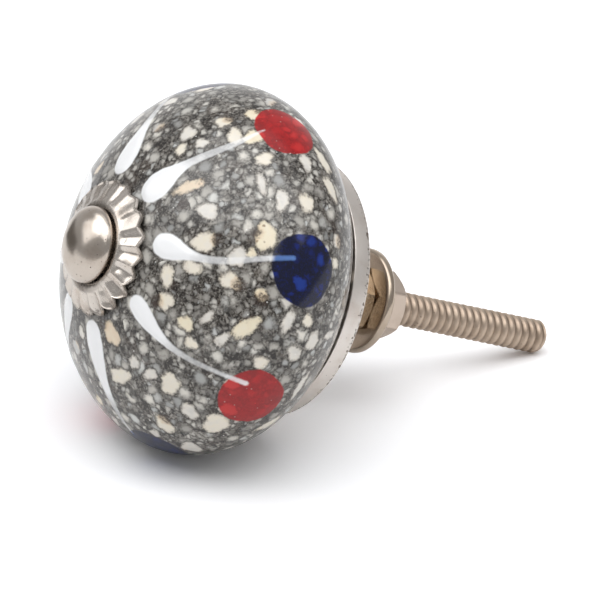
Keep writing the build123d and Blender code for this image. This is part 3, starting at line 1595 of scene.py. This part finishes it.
@dataclass
class PetalRosette(Piece):
    """The stamped flower washer under the bolt's head: each petal is a trough between two raised creases."""

    node: CadNode = CadNode.ROSETTE
    slot: Slot = Slot.NICKEL
    finish: Finish = NICKEL_PETALS
    petals: int = 20
    turn: float = -1.85
    hole_radius: float = 2.15
    hub_radius: float = 4.95
    root_radius: float = 5.3
    root_dip: float = 0.5
    root_ease: float = 0.25
    notch: float = 0.5
    notch_rise: float = 0.578
    tip_power: float = 0.85
    sheet: float = 0.35
    straight_share: float = 0.25
    lip: float = 0.08
    lip_width: float = 0.14
    shortenings: Range = (0.0, 0.16)
    depths: Range = (0.8, 1.12)
    trough_off: float = 0.2
    trough_spread: float = 0.2
    dimples: Range = (-0.4, 1.0)
    dimple_depth: float = 0.12
    dimple_inset: float = 0.25
    dimple_size: Range = (0.3, 0.35)
    dent_count: int = 3
    dent_depth: float = 0.06
    dent_outward: float = 1.1
    dent_spread: Range = (0.9, 0.8)
    dent_size: float = 0.4
    shallow_petals: tuple[tuple[int, int, float], ...] = ((2, 3, 0.45), (4, 8, 0.36))
    dimmed_petals: tuple[int, int] = (5, 8)
    worn_petals: tuple[int, int] = (12, 18)
    worn_shortening: float = 0.2
    worn_notch: float = 0.3
    hub_shade: float = 0.8
    hub_low_shade: float = 0.3
    head_shade: float = 1.1
    head_shade_ramp: Range = (5.05, 5.4)
    low_side_width: float = 34.0
    dimple_shade: float = 0.4
    trough_shade: float = 0.3
    trough_shade_width: float = 0.14
    worn_petal_shade: float = 0.5
    worn_petal_shade_spread: float = 0.8
    worn_petal_shade_width: float = 0.45
    worn_petal_shade_ramp: Range = (5.4, 7.0)
    dimmed_petal_shade: float = 0.35
    steps_a_petal: int = 32
    hub_rows: int = 5
    petal_rows: int = 34

    def __post_init__(self) -> None:
        """Reads the tips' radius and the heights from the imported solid."""
        self.tip_radius, rear, self.hub_ahead = reach(self.node)
        self.tip_ahead = rear + self.sheet
        self.notch_radius = self.tip_radius - self.notch

    def build(self) -> bpy.types.Object:
        """Builds the hub and the folded petals ring by ring.

        Returns:
            The rosette.
        """
        steps = self.uneven_steps()
        level = 0 * steps.turn
        top, hollow = [], []
        for share in np.linspace(0, 1, self.hub_rows, endpoint=False):
            radius = self.hole_radius + (self.hub_radius - self.hole_radius) * share
            top.append((level + radius, level + self.hub_ahead))
            # Painted shade on the hub beneath the dome's rim, darker towards the bottom.
            hollow.append(self.hub_shade + self.hub_low_shade * steps.low_side)
        for share in np.linspace(0, 1, self.petal_rows):
            radius = self.hub_radius + (steps.end - self.hub_radius) * share
            top.append((radius, self.height(steps, radius)))
            hollow.append(self.painted_shade(steps, radius))
        upper = np.array(top)
        under = upper[::-2].copy()
        under[:, 1] -= self.sheet
        outline = np.concatenate([upper, under])
        made = ring_mesh("stamped_rosette", about_bolt(outline[:, 0], outline[:, 1], steps.turn), sharp=38)
        # Painted shade: the petals' underside is darkened fully.
        carry(made, "hollow", np.array(hollow + [level + 1] * len(under)))
        return made

    def uneven_steps(self) -> PetalSteps:
        """Makes each petal a little different.

        Returns:
            The steps round the rosette.
        """
        draw = np.random.default_rng(SEED + 2)
        index = np.arange(self.petals * self.steps_a_petal)
        petal = index // self.steps_a_petal
        across = (index % self.steps_a_petal) / self.steps_a_petal * 2 - 1
        turn = np.radians(self.turn + (petal + across / 2) * 360 / self.petals)
        short = draw.uniform(*self.shortenings, self.petals)[petal]
        deep = draw.uniform(*self.depths, self.petals)[petal]
        trough = self.trough_off + draw.uniform(-self.trough_spread, self.trough_spread, self.petals)[petal]
        dimple = draw.uniform(*self.dimples, self.petals)[petal].clip(0)
        dents = draw.uniform(-1, 1, (self.petals, self.dent_count, 3))[petal]
        for first, last, depth in self.shallow_petals:
            deep[(petal >= first) & (petal <= last)] *= depth
        is_worn = (petal >= self.worn_petals[0]) & (petal <= self.worn_petals[1])
        # Painted shade darkens petals 5 to 8 as a whole.
        is_dimmed = (petal >= self.dimmed_petals[0]) & (petal <= self.dimmed_petals[1])
        short[is_worn] *= self.worn_shortening
        end = self.notch_radius + (self.notch - short) * (1 - np.abs(across)) ** self.tip_power
        from_bottom = (np.degrees(turn) + 270) % 360 - 180
        return PetalSteps(
            turn=turn,
            across=across,
            off=np.where(across > trough, (across - trough) / (1 - trough), (trough - across) / (1 + trough)),
            end=end - self.worn_notch * is_worn * np.abs(across) ** 4,
            deep=deep,
            dimple=dimple,
            dents=dents,
            trough_darkness=np.where(is_worn, self.worn_petal_shade, self.trough_shade),
            dimming=self.dimmed_petal_shade * is_dimmed,
            low_side=np.exp(-((from_bottom / self.low_side_width) ** 2)),
        )

    def dimple_share(self, steps: PetalSteps, radius: np.ndarray) -> np.ndarray:
        """Gives how much of its petal's dimple, near the tip, each point of a ring has."""
        outward = (radius - self.notch_radius + self.dimple_inset) / self.dimple_size[0]
        return steps.dimple * np.exp(-(outward**2) - (steps.across / self.dimple_size[1]) ** 2)

    def height(self, steps: PetalSteps, radius: np.ndarray) -> np.ndarray:
        """Gives the height of the petals' upper side.

        Args:
            steps: The steps round the rosette.
            radius: The radius of each point of a ring.

        Returns:
            Distances ahead.
        """
        crease_drop = self.hub_ahead - self.tip_ahead - self.notch_rise
        crease_fall = crease_drop / (self.notch_radius - self.hub_radius)
        crease = self.hub_ahead - crease_fall * (radius - self.hub_radius)
        root_ahead = self.hub_ahead - self.root_dip
        trough_fall = (root_ahead - self.tip_ahead) / (self.tip_radius - self.root_radius)
        trough = root_ahead - trough_fall * (radius - self.root_radius)
        depth = (crease - trough) * smooth_share(radius, self.hub_radius, self.root_radius + self.root_ease)
        # A straight fold with a soft bottom: about 0 in the trough, and 1 at the crease.
        straight = (np.sqrt(steps.off**2 + 0.012) - 0.11) / 0.896
        curved = smooth_share(steps.off, 0.0, 1.0)
        fold = self.straight_share * straight + (1 - self.straight_share) * curved
        height = crease - depth * (1 - fold) * steps.deep
        height = height + self.lip * np.exp(-(((steps.end - radius) / self.lip_width) ** 2))
        height = height - self.dimple_depth * self.dimple_share(steps, radius)
        for outward, sideways, amount in np.moveaxis(steps.dents, 0, 2):
            from_middle = radius - (self.root_radius + self.dent_outward + self.dent_spread[0] * outward)
            from_side = steps.across - self.dent_spread[1] * sideways
            away = (from_middle / self.dent_size) ** 2 + (from_side / self.dent_size) ** 2
            height = height + self.dent_depth * amount * np.exp(-away)
        return np.clip(height, self.tip_ahead, self.hub_ahead)

    def painted_shade(self, steps: PetalSteps, radius: np.ndarray) -> np.ndarray:
        """Gives the painted shade on the petals' upper side: in the troughs and dimples, on the dimmed petals
        and by the head.

        Args:
            steps: The steps round the rosette.
            radius: The radius of each point of a ring.

        Returns:
            One value for each point.
        """
        # Painted shade in the dimple near each petal's tip.
        in_dimple = self.dimple_shade * self.dimple_share(steps, radius)
        # Painted shade along each petal's trough, spread wider towards the tips of the lower-left petals.
        in_trough = steps.trough_darkness * np.exp(-((steps.off / self.trough_shade_width) ** 2))
        beside = self.worn_petal_shade_spread * np.exp(-((steps.off / self.worn_petal_shade_width) ** 2))
        trough_darkness = (steps.trough_darkness - self.trough_shade) * beside * smooth_share(radius, *self.worn_petal_shade_ramp)
        # Painted shade by the head, on the lower side only.
        by_head = self.head_shade * steps.low_side * (1 - smooth_share(radius, *self.head_shade_ramp))
        return np.maximum(in_dimple + in_trough + trough_darkness + steps.dimming, by_head)


@dataclass
class DomeBolt(Piece):
    """The bolt: a dome head on a narrow seat, a plain shank inside the ceramic and a rolled thread behind."""

    node: CadNode = CadNode.BOLT
    slot: Slot = Slot.NICKEL
    finish: Finish = NICKEL_DOME
    thread_finish: Finish = NICKEL_THREAD
    head_radius: float = 4.3
    head_rim: float = 0.25
    head_round: float = 0.06
    head_ahead: float = 27.35
    seat_radius: float = 3.5
    seat_ahead: float = 27.05
    crest_radius: float = 1.95
    shank_radius: float = 1.75
    thread_depth: float = 0.2
    groove_power: float = 1.3
    groove_shade: float = 0.7
    pitch: float = 1.0
    lead_in: float = 1.5
    nut_zone: Range = (5.7, 13.3)
    end_chamfer: float = 0.6
    shank_step: float = 0.2
    thread_step: float = 0.02
    end_step: float = 0.05
    dome_rows: int = 44
    shank_rows: int = 14
    steps: int = 96
    span: float = 0.09

    def build(self) -> bpy.types.Object:
        """Builds the head and the thread as one skin.

        Returns:
            The bolt.
        """
        _, rear, front = reach(self.node)
        rim_ahead = self.head_ahead + self.head_rim
        quarter = np.linspace(0, math.pi / 2, self.dome_rows)
        dome_ahead = rim_ahead + (front - rim_ahead) * np.cos(quarter)
        shank_ahead = np.linspace(self.seat_ahead - self.shank_step, self.lead_in, self.shank_rows)
        outline = [
            *zip(self.head_radius * np.sin(quarter), dome_ahead),
            (self.head_radius, self.head_ahead + self.head_round),
            (self.head_radius - self.head_round, self.head_ahead),
            (self.seat_radius, self.head_ahead),
            (self.seat_radius, self.seat_ahead),
            (self.shank_radius, self.seat_ahead),
            *((self.shank_radius, ahead) for ahead in shank_ahead),
        ]
        behind = np.arange(-self.lead_in + self.thread_step, -rear, self.span)
        end = np.array([(self.crest_radius - self.end_chamfer - self.end_step, rear), (0.0, rear)])
        rings = np.concatenate(
            [
                turned_rings(np.array(outline), self.steps),
                self.thread(behind, -rear),
                turned_rings(end, self.steps),
            ]
        )
        made = ring_mesh("dome_head_bolt", rings, sharp=45)
        inner = rings[1:-1].reshape(-1, 3)
        groove = (self.crest_radius - np.hypot(inner[:, 0], inner[:, 2])) / self.thread_depth
        threaded = (inner[:, 1] > 0) & (inner[:, 1] < -rear - self.end_chamfer)
        # Painted shade in the thread's grooves, deepest at their roots.
        groove_shading = self.groove_shade * np.clip(groove, 0, 1) * threaded
        carry(made, "hollow", np.concatenate([[0.0], groove_shading, [0.0]]))
        return made

    def dress(self, made: bpy.types.Object) -> None:
        """Gives the head its polish, and all that lies behind the head the thread's duller finish.

        Args:
            made: The bolt.
        """
        made.data.materials.append(self.finish.material())
        made.data.materials.append(self.thread_finish.material())
        for face in made.data.polygons:
            face.material_index = int(face.center.y > -self.seat_ahead * MM)

    def thread(self, behind: np.ndarray, end: float) -> np.ndarray:
        """Gives the rings of the rolled thread.

        Args:
            behind: How far behind the plate's rear face each ring is.
            end: Where the bolt ends.

        Returns:
            The rings' points.
        """
        turn = np.linspace(0, 2 * math.pi, self.steps, endpoint=False)
        phase = behind[:, None] / self.pitch + turn[None] / (2 * math.pi)
        groove = (0.5 - 0.5 * np.cos(2 * math.pi * phase)) ** self.groove_power
        radius = self.crest_radius - self.thread_depth * groove
        hidden = (behind > self.nut_zone[0]) & (behind < self.nut_zone[1])
        radius[hidden] = np.minimum(radius[hidden], self.shank_radius)
        taper = self.crest_radius - np.clip(behind - (end - self.end_chamfer), 0, None)
        return about_bolt(np.minimum(radius, taper[:, None]), -behind[:, None], turn)


@dataclass
class HexNut(Piece):
    """A hexagon nut with chamfered corners and a countersunk bore."""

    turn: float = 0.0
    sides: int = 6
    flats: float = 7.0
    chamfer_angle: float = 30.0
    bore_radius: float = 1.8
    countersink: float = 0.3
    worn_power: float = 70.0
    face_inset: float = 0.12
    edge_inset: float = 0.03
    edge_drop: float = 0.01
    corner_inset: float = 0.02
    corner_drop: float = 0.05
    steps_a_side: int = 36

    def build(self) -> bpy.types.Object:
        """Builds the nut with its chamfers' curved edges.

        Returns:
            The nut.
        """
        _, rear, front = reach(self.node)
        face_radius = self.flats / 2
        pitch = 360 / self.sides
        bearing = np.linspace(0, 2 * math.pi, self.sides * self.steps_a_side, endpoint=False)
        normals = np.radians(self.turn + pitch / 2 + pitch * np.arange(self.sides))
        facing = np.clip(np.cos(bearing[:, None] - normals[None]), 0, None)
        side = face_radius / (facing**self.worn_power).sum(axis=1) ** (1 / self.worn_power)
        slope = math.tan(math.radians(self.chamfer_angle))
        drop = np.maximum((side - face_radius) * slope, 0.0) + self.edge_inset
        flat = 0 * bearing
        bore = flat + self.bore_radius
        half = [
            (bore + self.countersink, flat),
            (flat + face_radius - self.face_inset, flat),
            (flat + face_radius - self.edge_inset, flat + self.edge_drop),
            (side - self.corner_inset, drop),
            (side, drop + self.corner_drop),
        ]
        rows = [(radius, front - inwards) for radius, inwards in half]
        rows.append((side, flat + (front + rear) / 2))
        rows += [(radius, rear + inwards) for radius, inwards in reversed(half)]
        rows.append((bore, flat + rear + self.countersink))
        rows.append((bore, flat + front - self.countersink))
        outline = np.array(rows)
        rings = about_bolt(outline[:, 0], outline[:, 1], bearing)
        return ring_mesh(f"{self.node.value}_hexagon", rings, sharp=20)


@dataclass
class FlatWasher(Piece):
    """The large flat washer with a rounded rim."""

    node: CadNode = CadNode.WASHER
    slot: Slot = Slot.NICKEL
    finish: Finish = NICKEL_WASHER
    hole_radius: float = 2.15
    hole_round: float = 0.1
    rim_round: float = 0.5
    rim_spans: int = 8
    steps: int = 240

    def build(self) -> bpy.types.Object:
        """Builds the washer.

        Returns:
            The washer.
        """
        radius, rear, front = reach(self.node)
        outline = rounded(
            [
                (self.hole_radius, rear, self.hole_round),
                (radius, rear, self.rim_round),
                (radius, front, self.rim_round),
                (self.hole_radius, front, self.hole_round),
            ],
            self.rim_spans,
        )
        return ring_mesh("flat_washer", turned_rings(outline, self.steps), sharp=35)


@dataclass(frozen=True)
class Softbox:
    """A soft light: where it hangs, its width and height in metres, its brightness, and its lean.

    A radiance of 1 is white. One that only shines is mirrored by what is glossy, and lights nothing else.
    """

    name: str
    azimuth: float
    rise: float
    width: float
    height: float
    radiance: float
    lean: float = 0.0
    only_shines: bool = False


@dataclass
class Studio:
    """The white table, the soft lights, the dark card and the camera."""

    azimuth: float = 55.4
    elevation: float = 0.65
    roll: float = 12.01
    distance: float = 688.8
    aim_right: float = 0.839
    aim_up: float = -1.521
    lens: float = 369.5
    clip: Range = (0.01, 20.0)
    floor_radius: float = 1500.0
    floor_steps: int = 96
    first_tilt: float = 0.4
    tilt_rounds: int = 40
    softboxes: tuple[Softbox, ...] = (
        Softbox("overhead_softbox", azimuth=-36.0, rise=75.0, width=1.2, height=0.68, radiance=2.25),
        Softbox(
            "left_softbox",
            azimuth=-88.0,
            rise=41.0,
            width=0.4,
            height=0.66,
            radiance=1.8,
            lean=32.0,
            only_shines=True,
        ),
        Softbox("right_softbox", azimuth=69.0, rise=50.0, width=0.42, height=0.42, radiance=1.4),
    )
    softbox_away: float = 0.7
    softbox_power: float = 2.0
    front_level: float = 0.39
    back_level: float = 0.58
    back_ramp: Range = (0.3, 0.9)
    high_level: float = 1.7
    high_ramp: Range = (0.78, 1.0)
    backdrop_level: float = 0.6
    backdrop_ramp: Range = (0.8, 0.97)
    card_azimuth: float = -124.0
    card_away: float = 150.0
    card_width: float = 100.0
    card_height: float = 43.0

    def __post_init__(self) -> None:
        """Works out the camera's axes."""
        turn, rise, roll = (math.radians(angle) for angle in (self.azimuth, self.elevation, self.roll))
        level = Vector((math.cos(turn), math.sin(turn), 0))
        ahead = Vector((math.sin(turn), -math.cos(turn), 0))
        self.back = math.cos(rise) * ahead + math.sin(rise) * Vector((0, 0, 1))
        above = self.back.cross(level)
        self.right = math.cos(roll) * level + math.sin(roll) * above
        self.up = math.cos(roll) * above - math.sin(roll) * level

    def make_camera(self) -> None:
        """Sets the camera where the photograph was taken from."""
        data = bpy.data.cameras.new("camera")
        data.lens = self.lens
        data.clip_start, data.clip_end = self.clip
        camera = bpy.data.objects.new("camera", data)
        axes = Matrix((self.right, self.up, self.back)).transposed()
        spot = (self.back * self.distance + self.right * self.aim_right + self.up * self.aim_up) * MM
        camera.matrix_world = Matrix.Translation(spot) @ axes.to_4x4()
        bpy.context.scene.collection.objects.link(camera)
        bpy.context.scene.camera = camera

    def make_floor(self, curve: np.ndarray, thread: Range) -> None:
        """Lays the table under the knob, which rests on its ceramic and on the thread's end.

        Args:
            curve: The ceramic's outline, rows of radius and distance ahead.
            thread: The radius of the thread's end, and how far behind the rear face it is.
        """
        tilt = self.first_tilt
        for _ in range(self.tilt_rounds):
            depths = math.sin(tilt) * curve[:, 1] - math.cos(tilt) * curve[:, 0]
            low_radius, low_ahead = curve[depths.argmin()]
            tilt = math.atan2(low_radius - thread[0], low_ahead + thread[1])
        self.table_height = (math.sin(tilt) * low_ahead - math.cos(tilt) * low_radius) * MM
        axis_up, axis_back = self.up.y, self.back.y
        lean = math.atan2(axis_back, axis_up) + math.acos(-math.sin(tilt) / math.hypot(axis_up, axis_back))
        self.table_up = math.cos(lean) * self.up + math.sin(lean) * self.back
        self.table_front = math.cos(lean) * self.back - math.sin(lean) * self.up
        middle = self.table_up * self.table_height
        radius = self.floor_radius * MM
        corners = []
        for turn in np.linspace(0, 2 * math.pi, self.floor_steps, endpoint=False):
            outward = math.cos(turn) * self.right - math.sin(turn) * self.table_front
            corners.append(middle + radius * outward)
        self.flat_sheet("table_top", corners, StudioFloor())
        LOG.info("table tilted %.1f degrees", math.degrees(tilt))
        LOG.info("camera %.1f degrees above the table", math.degrees(lean) % 360)

    def flat_sheet(self, name: str, corners: Sequence[Vector], finish: Finish) -> bpy.types.Object:
        """Makes one flat face.

        Args:
            name: The object's name.
            corners: Its corners in order, in metres.
            finish: Its finish.

        Returns:
            The object.
        """
        mesh = bpy.data.meshes.new(name)
        mesh.from_pydata([tuple(corner) for corner in corners], [], [tuple(range(len(corners)))])
        mesh.materials.append(finish.material())
        made = bpy.data.objects.new(name, mesh)
        bpy.context.scene.collection.objects.link(made)
        return made

    def direction(self, azimuth: float, rise: float) -> Vector:
        """Gives a direction from the knob.

        Args:
            azimuth: Its angle from the table's front towards the table's right.
            rise: Its angle above the table.

        Returns:
            The direction, of length 1.
        """
        turn, lift = math.radians(azimuth), math.radians(rise)
        level = math.cos(turn) * self.table_front + math.sin(turn) * self.right
        return math.cos(lift) * level + math.sin(lift) * self.table_up

    def make_card(self, dome: Vector) -> None:
        """Stands a dark card to the left of the knob, which only what is glossy mirrors.

        Args:
            dome: The place of the dome head.
        """
        facing = self.direction(self.card_azimuth, 0.0)
        half = self.table_up.cross(facing).normalized() * self.card_width * MM / 2
        below = dome - self.table_up * (dome.dot(self.table_up) - self.table_height)
        foot = below + facing * self.card_away * MM
        top = foot + self.table_up * self.card_height * MM
        card = self.flat_sheet("dark_card", (foot - half, foot + half, top + half, top - half), CardFelt())
        card.visible_camera = False
        card.visible_diffuse = False
        card.visible_shadow = False

    def hang(self, box: Softbox) -> None:
        """Hangs one softbox that faces the knob.

        Args:
            box: The softbox.
        """
        data = bpy.data.lights.new(box.name, "AREA")
        data.shape = "RECTANGLE"
        data.size, data.size_y = box.width, box.height
        data.energy = self.softbox_power * box.width * box.height * box.radiance
        light = bpy.data.objects.new(box.name, data)
        facing = self.direction(box.azimuth, box.rise)
        level = self.table_up.cross(facing).normalized()
        lean = math.radians(box.lean)
        across = math.cos(lean) * level - math.sin(lean) * facing.cross(level)
        axes = Matrix((across, facing.cross(across), facing)).transposed()
        light.matrix_world = Matrix.Translation(facing * self.softbox_away) @ axes.to_4x4()
        light.visible_camera = False
        light.visible_diffuse = not box.only_shines
        bpy.context.scene.collection.objects.link(light)

    def make_lights(self) -> None:
        """Hangs the softboxes and sets the room's glow, with a white backdrop."""
        for box in self.softboxes:
            self.hang(box)
        world = bpy.data.worlds.new("studio")
        bpy.context.scene.world = world
        world.use_nodes = True
        graph = ShaderGraph(world.node_tree)
        heading = Socket(graph, graph.node("ShaderNodeTexCoord").outputs["Generated"])
        up = graph.vector("DOT_PRODUCT", heading, tuple(self.table_up))
        away = graph.vector("DOT_PRODUCT", heading, tuple(-self.table_front))
        backdrop = away.rise(*self.backdrop_ramp)
        level = self.front_level + (self.back_level - self.front_level) * away.rise(*self.back_ramp)
        level = level + (self.high_level - level) * up.rise(*self.high_ramp)
        level = level + (self.backdrop_level - level) * backdrop
        shade = graph.mix(level, grey(0.0), grey(1.0))
        background = world.node_tree.nodes["Background"]
        graph.feed(background.inputs["Color"], graph.mix(graph.seen_rays(backdrop), shade, grey(1.0)))


def main() -> None:
    """Loads the frame, then builds the knob's pieces and the studio in order."""
    logging.basicConfig(level=logging.INFO, format="%(name)s: %(message)s")
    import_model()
    bpy.context.scene.view_settings.view_transform = "Standard"
    ceramic = CeramicBody()
    bolt = DomeBolt()
    pieces = [
        ceramic,
        BackPlate(),
        PetalRosette(),
        bolt,
        HexNut(CadNode.LOCK_NUT, Slot.BRASS, BRASS_NUT, turn=14.0),
        FlatWasher(),
        HexNut(CadNode.MOUNTING_NUT, Slot.NICKEL, NICKEL_NUT, turn=25.0),
    ]
    for piece in pieces:
        piece.make()
    studio = Studio()
    studio.make_camera()
    _, rear, front = reach(CadNode.BOLT)
    studio.make_floor(ceramic.curve(), (bolt.crest_radius, -rear - bolt.end_chamfer))
    studio.make_card(Vector((0.0, -front * MM, 0.0)))
    studio.make_lights()


if __name__ == "__main__":
    main()
